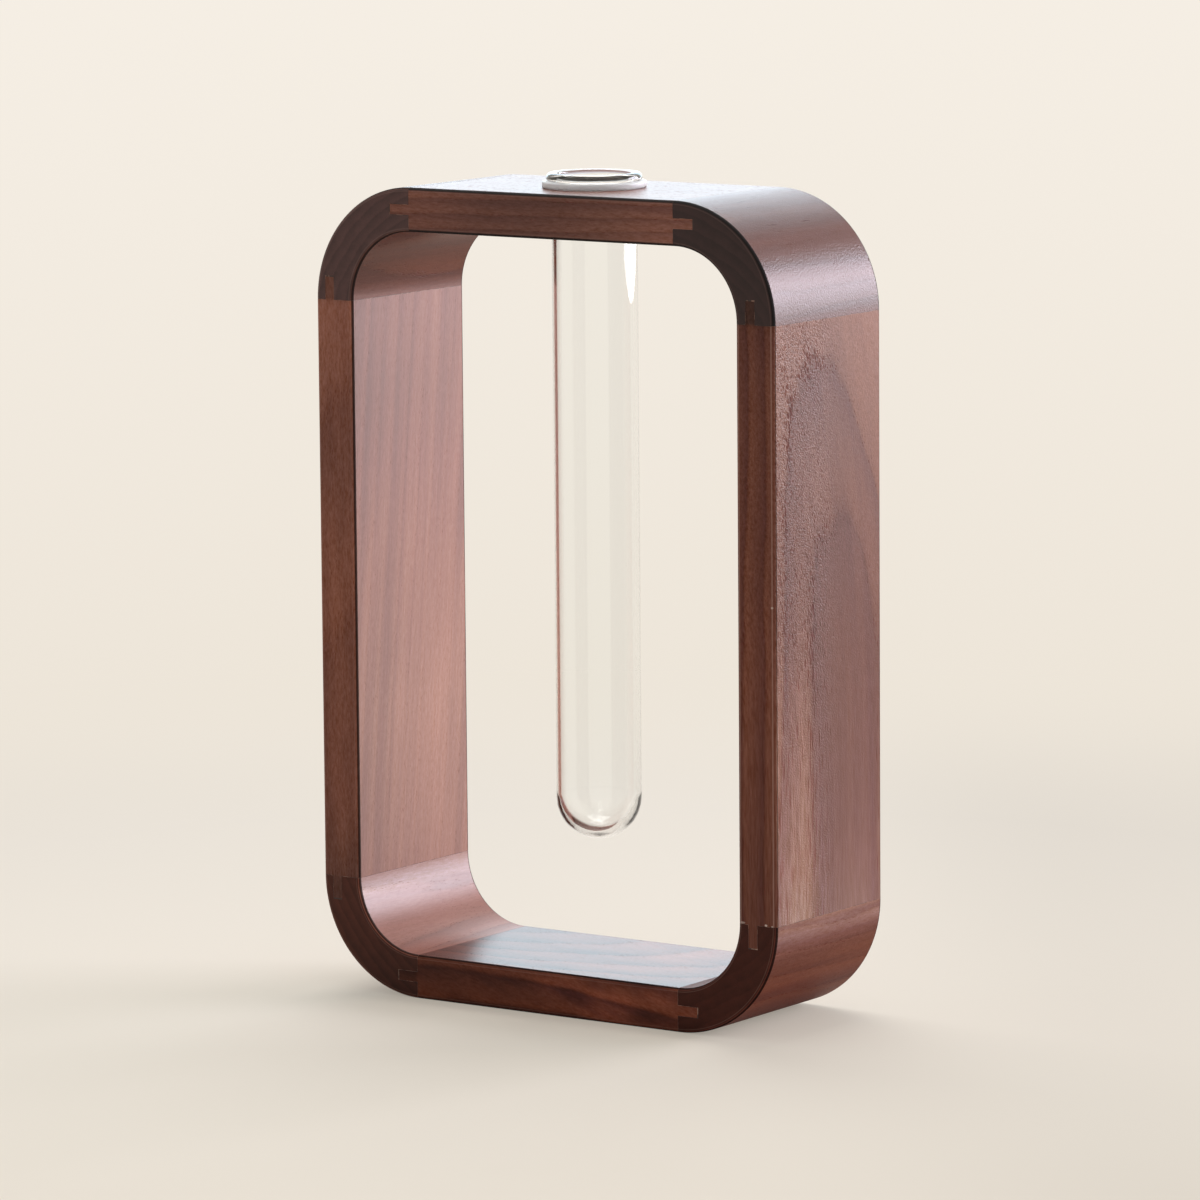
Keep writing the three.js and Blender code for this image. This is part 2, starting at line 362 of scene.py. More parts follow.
def walnut(
    name,
    grain,
    heart,
    lean,
    rings,
    early,
    late,
    bend=None,
    end_grain=None,
    figure=1.0,
    pores=1.0,
    pore_size=1.0,
    streaks=1.0,
    polish=0.26,
    gloss=0.25,
    arris_shade=(0.85, 0.7),
    pale_arris=(0.15, 0.95),
    edge=1.0,
    tones_and_painted_light=(),
    few_rings=False,
    quiet=None,
    clouds=1.0,
    streak_width=3.8,
    fibres=0.6,
    fleck=1.3,
    grit=0.6,
    patches_and_painted_light=(),
    specks=(),
    seed=0.0,
):
    """Oiled walnut as a solid: growth rings round a heart line, with fibres and pores along it.

    All lengths are in millimetres, and the pattern's own Z runs along the grain.

    heart, lean: where the heart line crosses the pattern's XY plane, and how far it leans in X
        and Y for each millimetre of height. Below bend it hardly leans.
    rings: (width of a ring, radius of one ring's dark line). With few_rings only that line and
        the next one out are drawn, and they spread towards the foot.
    early, late, end_grain: the palest and the darkest wood of a ring, and the cut ends.
    figure, streaks, clouds, fibres, fleck: how strong rings, streaks, clouds, fibres and flecks
        are. fleck may be (how strong low down, how strong higher up).
    pores, pore_size: how many pores there are and how wide they are.
    quiet: (where the pores start to thin out towards the back, where they have).
    polish, gloss, grit: how rough and how glossy the oil is, and how deep the sanding shows.
    arris_shade: (how dark the painted shade along the arrises is, how far round towards the
        front it reaches).
    pale_arris: (how pale their front line is, with wear and a painted highlight, how far
        round it goes).
    edge: how light the front and back are beside the other faces; below one, painted shade.
    tones_and_painted_light, patches_and_painted_light: (axis, [(place along it, lightness
    there)]) and (middle, half sizes, lightness); partly the wood's own tone and partly
    painted sheen, highlights, reflections and shade. A lightness may be one for each of
    red, green and blue.
    specks: crumbs of glue as (x, z, half width, half height, strength).
    seed: what moves the pattern's swells and streaks away from those of other pieces.
    """
    material, tree, shader, coords = new_material(name)
    turn, along = GRAIN[grain]
    place = coords["Object"]
    inputs = {"Vector": place, "Rotation": turn, "Scale": (1 / MM, 1 / MM, 1 / MM)}
    laid = add_node(tree, "ShaderNodeMapping", inputs).outputs["Vector"]

    # Place across the heart line, which leans, and along it
    x, y, z = split(tree, laid)
    height = z
    pore_run = calc(tree, "MULTIPLY", z, 0.42)
    if bend is not None:
        height = calc(tree, "SMOOTH_MAX", z, bend, 80.0)
        pore_run = calc(tree, "MULTIPLY", calc(tree, "SMOOTH_MAX", z, bend, 50.0), 0.8)
        pore_run = calc(tree, "MULTIPLY_ADD", z, 0.14, pore_run)
    off_x = calc(tree, "SUBTRACT", x, calc(tree, "MULTIPLY_ADD", height, lean[0], heart[0]))
    off_y = calc(tree, "SUBTRACT", y, calc(tree, "MULTIPLY_ADD", height, lean[1], heart[1]))
    offset = join(tree, off_x, off_y)
    shifted = vector_calc(tree, "ADD", join(tree, off_x, off_y, z), (seed, 2 * seed, 7 * seed))

    # Distance from the heart line, bent by slow swells and small wobbles, as a count of rings
    swell = noise(tree, shifted, SWELLS, 1.0, output="Color")
    wobble = noise(tree, shifted, WOBBLES, 2.0, output="Color")
    offset = pushed(tree, offset, swell, SWELL_WIDTH)
    offset = pushed(tree, offset, wobble, WOBBLE_WIDTH)
    width, line_radius = rings
    count = calc(tree, "SUBTRACT", length(tree, offset), line_radius)
    count = calc(tree, "DIVIDE", count, width)
    if few_rings:
        count = calc(tree, "ADD", count, smooth_range(tree, z, *RINGS_WIDEN, 0.25, 0.0))
        count = calc(tree, "MULTIPLY", count, smooth_range(tree, z, *RINGS_WIDEN, 0.56, 1.0))
        phase = calc(tree, "MULTIPLY_ADD", count, 0.5, 0.25, clamp=True)
        lateness = grey_ramp(tree, phase, TWO_RINGS)
        line = grey_ramp(tree, phase, TWO_RING_LINES)
    else:
        phase = calc(tree, "FRACT", count)
        lateness = grey_ramp(tree, phase, RING)
        line = grey_ramp(tree, phase, RING_LINE)

    # Colour across a ring, with streaks and clouds
    streak_scale = (1 / streak_width, 1 / streak_width, STREAKS_ALONG)
    streak = noise(tree, shifted, streak_scale, 4.0, 0.6)
    cloud = noise(tree, shifted, CLOUDS, 2.0)
    cloud = calc(tree, "MULTIPLY_ADD", cloud, 0.7 * clouds, -0.35 * clouds)
    streak = calc(tree, "MULTIPLY_ADD", streak, 1.5 * streaks, -0.75 * streaks)
    share = calc(tree, "MULTIPLY_ADD", lateness, 0.7 * figure, 0.5 - 0.35 * figure)
    share = calc(tree, "ADD", calc(tree, "ADD", share, cloud), streak, clamp=True)
    colour = mix_colour(tree, share, early, late)

    # Pores: short dark dashes along the grain, most where a ring begins
    dashes = vector_calc(tree, "MULTIPLY", shifted, PORES_ACROSS)
    dashes = vector_calc(tree, "ADD", dashes, join(tree, 0.0, 0.0, pore_run))
    inputs = {"Vector": dashes, "Scale": 1 / pore_size, "Randomness": 1.0}
    cells = add_node(tree, "ShaderNodeTexVoronoi", inputs)
    busy = 1.0
    if quiet is not None:
        depths = [at * MM for at in quiet]
        busy = smooth_range(tree, split(tree, place)["Y"], *depths, 1.0, 0.3)
    open_share = calc(tree, "MULTIPLY", busy, pores)
    crowd = calc(tree, "MULTIPLY_ADD", noise(tree, shifted, PORE_CROWDS, 2.0), 0.5, -0.04)
    crowd = calc(tree, "MULTIPLY", crowd, open_share)
    reach = calc(tree, "MULTIPLY_ADD", line, 0.22 * pores, crowd)
    pore = calc(tree, "SUBTRACT", reach, cells.outputs["Distance"])
    pore = smooth_range(tree, pore, -0.09, 0.1)
    pore_share = calc(tree, "MULTIPLY", pore, 0.3 + 0.15 * pore_size)
    colour = mix_colour(tree, pore_share, colour, PORE)

    # Fine detail, tinted all together: flecks, fibres and each ring's dark line
    flecks = calc(tree, "SUBTRACT", noise(tree, dashes, FLECKS, 2.0, 0.75), 0.5)
    flecks = calc(tree, "MULTIPLY", flecks, calc(tree, "MULTIPLY_ADD", open_share, 0.8, 0.2))
    if isinstance(fleck, tuple):
        fleck = smooth_range(tree, z, *FLECKS_GROW, *fleck)
    fibre = noise(tree, shifted, FIBRES, 3.0, 0.65)
    fine = calc(tree, "MULTIPLY", flecks, fleck)
    fine = calc(tree, "MULTIPLY_ADD", calc(tree, "SUBTRACT", fibre, 0.5), fibres, fine)
    fine = calc(tree, "MULTIPLY_ADD", line, -0.16 * figure, fine)
    fine = vector_calc(tree, "MULTIPLY_ADD", fine, FINE_TINT, (1.0, 1.0, 1.0))
    colour = times(tree, colour, fine)

    # End grain drinks more oil, so it is darker and plainer
    normal = split(tree, coords["Normal"])
    end = smooth_range(tree, calc(tree, "ABSOLUTE", normal[along]), *CUT_END)
    if end_grain is not None:
        plain = shaded(tree, end_grain, calc(tree, "MULTIPLY_ADD", share, -0.5, 1.25))
        colour = mix_colour(tree, end, colour, plain)

    # The front and back, darker than the broad faces as painted shade, then the tone along the
    # piece
    facing = calc(tree, "ABSOLUTE", normal["Y"])
    colour = shaded(tree, colour, smooth_range(tree, facing, *FLAT_FRONT, 1.0, edge))
    # Tone along the piece and in places: partly the wood's own, partly painted sheen, highlights,
    # reflections and shade
    colour = with_tones_and_painted_light(tree, colour, place, tones_and_painted_light, patches_and_painted_light)

    # Arrises: a pale line where the face ends, part wear and part painted highlight, and a
    # painted shade beyond it
    darkest, onward = arris_shade
    worn_and_highlight, pale_line_end = pale_arris
    worn_and_highlight = smooth_range(tree, facing, pale_line_end, pale_line_end + 0.03, 0.0, worn_and_highlight)
    worn_and_highlight = calc(tree, "MULTIPLY", worn_and_highlight, smooth_range(tree, facing, *FRONT_RIM))
    colour = mix_colour(tree, worn_and_highlight, colour, WORN_AND_HIGHLIGHT)
    # The dark line beyond it is painted shade
    dark = smooth_range(tree, facing, onward + 0.12, onward - 0.05)
    dark = calc(tree, "MULTIPLY", smooth_range(tree, facing, *ARRIS_START), dark)
    colour = shaded(tree, colour, calc(tree, "MULTIPLY_ADD", dark, -darkest, 1.0))
    colour = crumbed(tree, colour, place, laid, specks)

    # Satin oil: open over the pores, on the end grain and along the arrises where shade is painted
    rough = polish - 0.03
    for pattern, roughening in ((fibre, 0.14), (pore, 0.4), (end, 0.12), (dark, 0.5)):
        rough = calc(tree, "MULTIPLY_ADD", pattern, roughening, rough)
    relief = calc(tree, "MULTIPLY_ADD", pore, -0.8, calc(tree, "MULTIPLY", flecks, 0.8))
    sanding = noise(tree, laid, SANDING, 2.0, 0.7)
    relief = calc(tree, "MULTIPLY_ADD", sanding, calc(tree, "MULTIPLY", busy, grit), relief)
    surface = {
        "Base Color": colour,
        "Roughness": rough,
        "Normal": bumped(tree, relief, 0.5, 0.06 * MM),
        "Specular IOR Level": gloss,
    }
    set_inputs(tree, shader, surface)
    return material


def clear_glass():
    """Drawn borosilicate tube: clear, with the faintest ripple along it."""
    material, tree, shader, coords = new_material("clear_glass")
    ripple = noise(tree, coords["Object"], GLASS_RIPPLES, 2.0)
    smear = noise(tree, coords["Object"], GLASS_SMEARS, 4.0)
    surface = {
        "Base Color": srgb(254, 255, 255),
        "Roughness": smooth_range(tree, smear, 0.52, 0.8, 0.0, 0.035),
        "Normal": bumped(tree, ripple, 0.08, 0.3 * MM),
        "Transmission Weight": 1.0,
        "IOR": 1.473,
    }
    set_inputs(tree, shader, surface)
    return material


def clear_silicone():
    """Clear silicone: soft gloss and a slight milky cloud, with light scattered inside it."""
    material, tree, shader, coords = new_material("clear_silicone")
    cloud = noise(tree, coords["Object"], SILICONE_CLOUDS, 3.0)
    surface = {
        "Base Color": mix_colour(tree, cloud, srgb(247, 249, 253), srgb(254, 255, 255)),
        "Roughness": smooth_range(tree, cloud, 0.3, 0.7, 0.3, 0.42),
        "Normal": bumped(tree, cloud, 0.15, 0.1 * MM),
        "Transmission Weight": 0.25,
        "Subsurface Weight": 1.0,
        "Subsurface Radius": (1.0, 1.0, 1.0),
        "Subsurface Scale": 5 * MM,
        "IOR": 1.41,
    }
    set_inputs(tree, shader, surface)
    return material


def dried_glue():
    """Dried glue: dark where it took up dust, pale in crumbs."""
    material, tree, shader, coords = new_material("dried_glue")
    crumbs = noise(tree, coords["Object"], GLUE_CRUMBS, 2.0)
    dust = [(0.0, srgb(38, 22, 18)), (0.5, srgb(46, 28, 22))]
    pale = [(0.6, srgb(132, 100, 86)), (1.0, srgb(176, 148, 130))]
    surface = {
        "Base Color": ramp(tree, crumbs, dust + pale),
        "Roughness": smooth_range(tree, crumbs, 0.3, 0.7, 0.5, 0.75),
        "Normal": bumped(tree, crumbs, 0.4, 0.1 * MM),
    }
    set_inputs(tree, shader, surface)
    return material


# Crumbs of glue at the joint under the right upright, and a nick in its arris
RIGHT_CRUMBS = [
    (69.2, 34.6, 0.9, 0.3, 0.4),
    (77.1, 34.5, 0.42, 0.3, 0.85),
    (79.2, 34.3, 0.34, 0.26, 0.5),
    (79.6, 126, 0.35, 0.3, 0.6),
]

# Walnut for each piece: where its heart lies, how its figure runs and how dark it is, and what
# differs on its front and back. Its changes of tone along it and in places are partly the
# wood's own and partly painted sheen, highlights, reflections and shade
WALNUT = {
    "top_board": dict(
        grain="X", heart=(-190, -60), lean=(0.02, 0.05), rings=(3.2, 0), seed=11,
        early=srgb(114, 69, 54), late=srgb(90, 50, 40), pores=0.7, arris_shade=(0.95, 0.9), grit=1.0,
        tones_and_painted_light=[("X", [(-53, 1.2), (-40, 1.2), (-24, 1.15), (24, 1.15), (53, 1.15)])],
        edges=dict(
            gloss=0.3, fleck=2.0,
            tones_and_painted_light=[("X", [
                (-53, 1.35), (-40, (1.33, 1.37, 1.45)), (-24, (1.08, 1.1, 1.18)),
                (-8, (0.98, 1.0, 1.08)), (8, (1.02, 1.04, 1.1)), (24, (1.17, 1.24, 1.32)),
                (40, (1.47, 1.56, 1.68)), (53, (1.5, 1.6, 1.7)),
            ])],
        ),
    ),
    "bottom_board": dict(
        grain="X", heart=(60, 30), lean=(0.25, -0.2), rings=(6.0, 0), seed=23,
        early=srgb(112, 60, 42), late=srgb(58, 27, 23), clouds=2.4, streaks=0.5, pores=0.5,
        gloss=0.2, fleck=2.2,
        tones_and_painted_light=[("X", [
            (-54, 0.5), (-47, 0.55), (-46.2, 0.85), (-30, 0.87), (-8, 1.1), (8, 1.3),
            (24, 1.4), (40, 1.3), (53, 1.35),
        ])],
        patches_and_painted_light=[
            ((22, -28, 5), (17, 20, 7), 1.7), ((4, -28, 9), (12, 20, 5), 1.4),
            ((40, -28, 10), (10, 20, 5), 1.4), ((33, -28, 3), (7, 20, 3), 0.7),
        ],
    ),
    "left_upright": dict(
        grain="Z", heart=(-60, 150), lean=(0.0, 0.1), rings=(7.0, 0), seed=37,
        early=srgb(153, 99, 81), late=srgb(119, 73, 61), figure=0.35, pores=0.5, streaks=1.0,
        # Its front and back are painted darker, as shade beside the lit inner face
        streak_width=5.0, clouds=1.5, fibres=0.6, polish=0.44, gloss=0.48, edge=0.78,
        # Paler, pinker and bluer low on the broad faces and darker towards the front: painted
        # sheen and shade
        tones_and_painted_light=[
            ("Z", [
                (27, (1.05, 1.15, 1.15)), (48, (1.1, 1.27, 1.27)), (84, (1.18, 1.38, 1.35)),
                (120, (1.07, 1.13, 1.08)), (156, 0.95), (180, (0.87, 0.86, 0.82)),
                (204, 0.95), (213, 1.0),
            ]),
            ("Y", [(-28, 0.9), (-14, 0.92), (0, 1.02), (28, 1.04)]),
        ],
        edges=dict(
            figure=0.6, pores=0.6, clouds=1.0, fibres=0.6, fleck=2.2, gloss=0.15,
            # Its front darkens towards the foot, a painted shade; the tongue ends are darker too
            tones_and_painted_light=[("Z", [
                (27, 0.5), (33.6, 0.55), (34.5, 0.7), (40, (0.74, 0.72, 0.7)),
                (60, (0.9, 0.82, 0.78)), (90, (0.98, 0.92, 0.86)), (130, (1.04, 0.98, 0.92)),
                (156, 1.0), (180, 1.12), (203, 1.3), (205.5, 1.25), (206.4, 0.72), (213, 0.68),
            ])],
        ),
    ),
    "right_upright": dict(
        grain="Z", heart=(42.3, 35.6), lean=(-0.11, -0.22), bend=120, rings=(5.35, 54.65),
        few_rings=True, seed=41, early=srgb(122, 77, 58), late=srgb(88, 47, 41), figure=1.25,
        streaks=0.45, clouds=0.45, quiet=(-8, 8), pores=1.1, pore_size=1.7, fleck=(1.9, 3.0),
        grit=4.8, polish=0.28, gloss=0.19, arris_shade=(0.8, 0.3), pale_arris=(0.5, 0.91),
        # Much paler and bluer towards the foot and paler towards the back: painted reflection and
        # sheen
        tones_and_painted_light=[
            ("Z", [
                (27, (1.46, 2.12, 2.5)), (36, (1.48, 2.14, 2.52)), (48, (1.36, 1.78, 2.06)),
                (60, (1.2, 1.48, 1.68)), (84, (1.04, 1.15, 1.22)), (110, (0.94, 0.94, 0.93)),
                (140, (0.93, 0.91, 0.9)), (180, (0.99, 1.0, 0.98)), (206, (1.1, 1.12, 1.12)),
            ]),
            ("Y", [(-28, 1.0), (6, 1.0), (18, 1.1), (28, 1.17)]),
        ],
        # A pale, bluish patch low on its outer face: a painted reflection
        patches_and_painted_light=[((80, -20, 66), (20, 21, 70), (1.33, 1.42, 1.38))],
        edges=dict(
            few_rings=False, early=srgb(112, 65, 48), late=srgb(86, 45, 37), clouds=1.0,
            quiet=None, pores=0.7, pore_size=1.0, fleck=2.4, grit=1.0, gloss=0.16, patches_and_painted_light=(),
            specks=RIGHT_CRUMBS,
            # Its front: darker towards the foot as painted shade, bluer near the top as painted
            # sheen, and dark on the tongue
            tones_and_painted_light=[("Z", [
                (27, 0.95), (40, 1.0), (84, 1.17), (108, 1.2), (132, 1.13),
                (180, (1.18, 1.24, 1.28)), (202, (0.97, 1.0, 1.12)), (205.5, 0.9),
                (206.4, (0.36, 0.42, 0.5)), (213, (0.36, 0.42, 0.5)),
            ])],
        ),
    ),
    "corner_top_left": dict(
        grain="Y", heart=(-20, -180), lean=(0, 0.02), rings=(3.0, 0), seed=53,
        early=srgb(101, 55, 39), late=srgb(81, 41, 31), end_grain=srgb(76, 51, 49), pores=0.6,
        # Paler just above the joint with the upright: a painted sheen
        polish=0.3, tones_and_painted_light=[("Z", [(206, 1.4), (209, 1.15), (214, 1.0), (240, 1.0)])],
        edges=dict(gloss=0.3, tones_and_painted_light=()),
    ),
    "corner_top_right": dict(
        grain="Y", heart=(20, -150), lean=(0.02, 0), rings=(3.4, 0), seed=61,
        early=srgb(102, 64, 56), late=srgb(84, 50, 45), end_grain=srgb(48, 30, 29), pores=0.35,
        polish=0.26, arris_shade=(0.97, 0.85), pale_arris=(0.1, 0.95), grit=3.2,
        # Bands of light and dark round its curve: a painted reflection
        tones_and_painted_light=[("Z", [
            (206, 1.07), (209.5, 0.8), (213, 0.96), (216.5, 1.05), (220, 1.0), (223, 0.78),
            (226, 0.93), (229, 1.12), (232, 1.0), (240, 1.0),
        ])],
        edges=dict(gloss=0.27, grit=0.6, tones_and_painted_light=()),
    ),
    "corner_bottom_left": dict(
        grain="Y", heart=(-10, -60), lean=(0, 0.02), rings=(3.1, 0), seed=71,
        early=srgb(147, 92, 76), late=srgb(122, 72, 58), end_grain=srgb(60, 30, 22), pores=0.5,
        polish=0.4, gloss=0.55,
        # A pale bluish band high on its curve, by the upright: a painted highlight
        tones_and_painted_light=[("Z", [
            (13, 0.9), (25, 0.85), (27.5, (0.95, 1.1, 1.3)), (29.6, (1.5, 2.5, 3.4)),
            (31.8, (1.55, 2.6, 3.5)), (34, (1.15, 1.6, 1.9)),
        ])],
        edges=dict(gloss=0.15, tones_and_painted_light=[("Z", [(2, 0.95), (10, 1.15), (22, 1.4), (34, 1.5)])]),
    ),
    "corner_bottom_right": dict(
        grain="Y", heart=(30, -70), lean=(0.02, 0), rings=(3.3, 0), seed=83,
        early=srgb(114, 61, 47), late=srgb(84, 39, 33), end_grain=srgb(63, 30, 22), pores=0.6,
        figure=0.55, polish=0.45, gloss=0.07, grit=2.0,
        # A pale bluish band high on its curve, by the upright: a painted sheen; darker and
        # yellower low down
        tones_and_painted_light=[("Z", [
            (6, (0.92, 0.9, 0.74)), (14, (0.94, 0.94, 0.78)), (20, (1.02, 1.15, 0.95)),
            (23.5, (0.82, 0.95, 0.92)), (27, (1.1, 1.55, 1.8)), (30.4, (1.6, 3.05, 4.0)),
            (34, (2.0, 3.75, 4.0)),
        ])],
        edges=dict(tones_and_painted_light=(), gloss=0.1, polish=0.26, specks=RIGHT_CRUMBS),
    ),
}

# The wall of the drilled hole, painted dark as the shade deep inside it
BORE_SHADE = dict(early=srgb(52, 30, 23), late=srgb(34, 18, 14), gloss=EDGE_GLOSS, polish=0.6)


def walnut_for(node):
    """The walnut of one wooden piece: its broad faces, its front and back, and a drilled hole."""
    finish = dict(WALNUT[node])
    own = finish.pop("edges", {})
    edges = {**finish, "gloss": EDGE_GLOSS, **own}
    finishes = [walnut("walnut_" + node, **finish), walnut("walnut_" + node + "_edges", **edges)]
    if node == "top_board":
        finishes.append(walnut("walnut_hole", **{**finish, **BORE_SHADE}))
    return finishes


# The frame's own measures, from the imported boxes
board_low, board_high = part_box("top_board")
block_low, block_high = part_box("corner_top_right")
DEPTH = board_high.y - board_low.y
THICKNESS = board_high.z - board_low.z
OUTER_RADIUS = block_high.x - block_low.x
INNER_RADIUS = OUTER_RADIUS - THICKNESS
HALF_WIDTH = block_high.x
TOP = block_high.z
LEVEL_SPAN = 2 * block_low.x
UPRIGHT_SPAN = TOP - 2 * OUTER_RADIUS
TONGUE_LENGTH = board_high.x - block_low.x + GLUE_GAP

# Where the middles of the boards and uprights lie
TOP_LEVEL = TOP - THICKNESS / 2
BOTTOM_LEVEL = THICKNESS / 2
HALFWAY_UP = TOP / 2
UPRIGHT_X = HALF_WIDTH - THICKNESS / 2

# The tube's and the ring's own measures, from their boxes
tube_low, tube_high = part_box("glass_tube")
ring_low, ring_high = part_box("seat_ring")
TUBE_RADIUS = tube_high.x - LIP_FLARE
BORE_RADIUS = TUBE_RADIUS - TUBE_WALL
RING_INSIDE = TUBE_RADIUS + RING_CLEARANCE
SEAT = ring_high.z


def round_off(bm, geom, radius, segments, affect):
    """Rounds off edges or corners of a bmesh."""
    bmesh.ops.bevel(
        bm,
        geom=geom,
        offset=radius,
        offset_type="OFFSET",
        segments=segments,
        profile=0.5,
        affect=affect,
        material=-1,
    )


def edges_along_x(bm, least):
    """The edges of a bmesh that run further along X than that."""
    return [e for e in bm.edges if abs(e.verts[0].co.x - e.verts[1].co.x) > least]


def set_in_place(bm, quarter_turns, place):
    """Turns a bmesh about Y by quarter turns and moves it to its place."""
    turn = Matrix.Rotation(quarter_turns * 90 * DEGREE, 3, "Y")
    bmesh.ops.rotate(bm, cent=(0, 0, 0), matrix=turn, verts=bm.verts)
    bmesh.ops.translate(bm, vec=place, verts=bm.verts)


def link_mesh(name, bm):
    """A new object in the scene made of a bmesh, which is used up."""
    mesh = bpy.data.meshes.new(name)
    bm.to_mesh(mesh)
    bm.free()
    made = bpy.data.objects.new(name, mesh)
    bpy.context.scene.collection.objects.link(made)
    return made


def close_seams(bm):
    """Merges points that lie together and turns the faces outwards."""
    bmesh.ops.remove_doubles(bm, verts=bm.verts, dist=SAME_POINT)
    bmesh.ops.recalc_face_normals(bm, faces=bm.faces)


def finish_piece(name, bm, materials, body, node):
    """Makes a piece of a bmesh: outward faces, soft shading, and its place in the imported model.

    A second material goes on what faces the front and the back, and a third on a hole round Z.
    """
    close_seams(bm)
    bm.normal_update()
    for face in bm.faces:
        face.smooth = True
        face.material_index = int(len(materials) > 1 and abs(face.normal.y) > FRONT_FACING)
        near_axis = face.calc_center_median().xy.length < HOLE_RADIUS + HOLE_CHAMFER
        if len(materials) > 2 and near_axis and abs(face.normal.z) < SQUARELY_FACING:
            face.material_index = 2
    for edge in bm.edges:
        edge.smooth = edge.calc_face_angle(0) < SHARP_ANGLE
    piece = link_mesh(name, bm)
    for material in materials:
        piece.data.materials.append(material)
    weighted = piece.modifiers.new("flat faces stay flat", "WEIGHTED_NORMAL")
    weighted.keep_sharp = True
    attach(piece, body)
    if node is not None:
        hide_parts(node)


def board(span, shift):
    """A board that lies flat round the origin along X, with a tongue at each end."""
    bm = bmesh.new()
    bmesh.ops.create_cube(bm, size=1.0)
    bmesh.ops.scale(bm, vec=(span - 2 * GLUE_GAP, DEPTH, THICKNESS), verts=bm.verts)
    round_off(bm, edges_along_x(bm, DEPTH), ARRIS_RADIUS, ARRIS_SEGMENTS, "EDGES")
    for side in (-1, 1):
        cut_place = (0, 0, shift + side * TONGUE_THICKNESS / 2)
        everything = bm.verts[:] + bm.edges[:] + bm.faces[:]
        bmesh.ops.bisect_plane(bm, geom=everything, plane_co=cut_place, plane_no=(0, 0, 1))
    for side in (-1, 1):
        ends = [f for f in bm.faces if f.normal.x * side > SQUARELY_FACING]
        tips = [f for f in ends if abs(f.calc_center_median().z - shift) < TONGUE_THICKNESS / 2]
        grown = bmesh.ops.extrude_discrete_faces(bm, faces=tips)["faces"]
        tip_verts = list({v for f in grown for v in f.verts})
        reach = TONGUE_LENGTH + GLUE_GAP - TONGUE_TIP_GAP
        bmesh.ops.translate(bm, vec=(side * reach, 0, 0), verts=tip_verts)
    return bm


def box(low, high):
    """A plain box between two corners."""
    bm = bmesh.new()
    bmesh.ops.create_cube(bm, size=1.0)
    bmesh.ops.scale(bm, vec=high - low, verts=bm.verts)
    bmesh.ops.translate(bm, vec=(low + high) / 2, verts=bm.verts)
    return bm


def cut(stock, cutter):
    """Cuts one bmesh out of another and gives the rest back as a new one."""
    objects = []
    for name, bm in (("stock", stock), ("cutter", cutter)):
        close_seams(bm)
        objects.append(link_mesh(name, bm))
    boolean = objects[0].modifiers.new("cut", "BOOLEAN")
    boolean.operation = "DIFFERENCE"
    boolean.solver = "EXACT"
    boolean.object = objects[1]
    evaluated = objects[0].evaluated_get(bpy.context.evaluated_depsgraph_get())
    rest = bmesh.new()
    rest.from_mesh(evaluated.to_mesh())
    evaluated.to_mesh_clear()
    for made in objects:
        mesh = made.data
        bpy.data.objects.remove(made)
        bpy.data.meshes.remove(mesh)
    return rest


def corner_block(rises):
    """The top right block round its own centre: a quarter turn of the section, with two grooves.

    rises says how far each groove sits outside the section's middle, for the level board's
    tongue and for the upright's.
    """
    bm = bmesh.new()
    bmesh.ops.create_grid(bm, x_segments=1, y_segments=1, size=0.5)
    bmesh.ops.scale(bm, vec=(THICKNESS, DEPTH, 1), verts=bm.verts)
    round_off(bm, bm.verts[:], ARRIS_RADIUS, ARRIS_SEGMENTS, "VERTICES")
    middle = (INNER_RADIUS + OUTER_RADIUS) / 2
    bmesh.ops.translate(bm, vec=(middle, 0, 0), verts=bm.verts)
    bmesh.ops.spin(
        bm,
        geom=bm.verts[:] + bm.edges[:] + bm.faces[:],
        cent=(0, 0, 0),
        axis=(0, 1, 0),
        angle=-90 * DEGREE,
        steps=CORNER_STEPS,
        use_merge=False,
        use_duplicate=False,
    )
    bmesh.ops.recalc_face_normals(bm, faces=bm.faces)
    half = TONGUE_THICKNESS / 2 + GLUE_GAP
    level, upright = [middle + rise for rise in rises]
    grooves = (
        ((-DEPTH, -DEPTH, level - half), (TONGUE_LENGTH, DEPTH, level + half)),
        ((upright - half, -DEPTH, -DEPTH), (upright + half, DEPTH, TONGUE_LENGTH)),
    )
    for low, high in grooves:
        bm = cut(bm, box(Vector(low), Vector(high)))
    return bm


def turned(points, closed=False):
    """A form turned round Z from points of (radius, height, rounding of that corner)."""
    bm = bmesh.new()
    verts = [bm.verts.new((radius, 0, height)) for radius, height, rounding in points]
    for first, second in zip(verts, verts[1:]):
        bm.edges.new((first, second))
    if closed:
        bm.edges.new((verts[-1], verts[0]))
    for vert, (radius, height, rounding) in zip(verts, points):
        if rounding:
            round_off(bm, [vert], rounding, CURVE_SEGMENTS, "VERTICES")
    bmesh.ops.spin(
        bm,
        geom=bm.verts[:] + bm.edges[:],
        cent=(0, 0, 0),
        axis=(0, 0, 1),
        angle=360 * DEGREE,
        steps=ROUND_STEPS,
        use_merge=True,
        use_duplicate=False,
    )
    return bm


def hole_cutter():
    """What the drill and the countersink take out of the top board, on both its faces."""
    wide = HOLE_RADIUS + HOLE_CHAMFER + CUTTER_SPARE
    under = TOP - THICKNESS
    return turned(
        [
            (0, under - CUTTER_SPARE, 0),
            (wide, under - CUTTER_SPARE, 0),
            (HOLE_RADIUS, under + HOLE_CHAMFER, 0),
            (HOLE_RADIUS, TOP - HOLE_CHAMFER, 0),
            (wide, TOP + CUTTER_SPARE, 0),
            (0, TOP + CUTTER_SPARE, 0),
        ]
    )


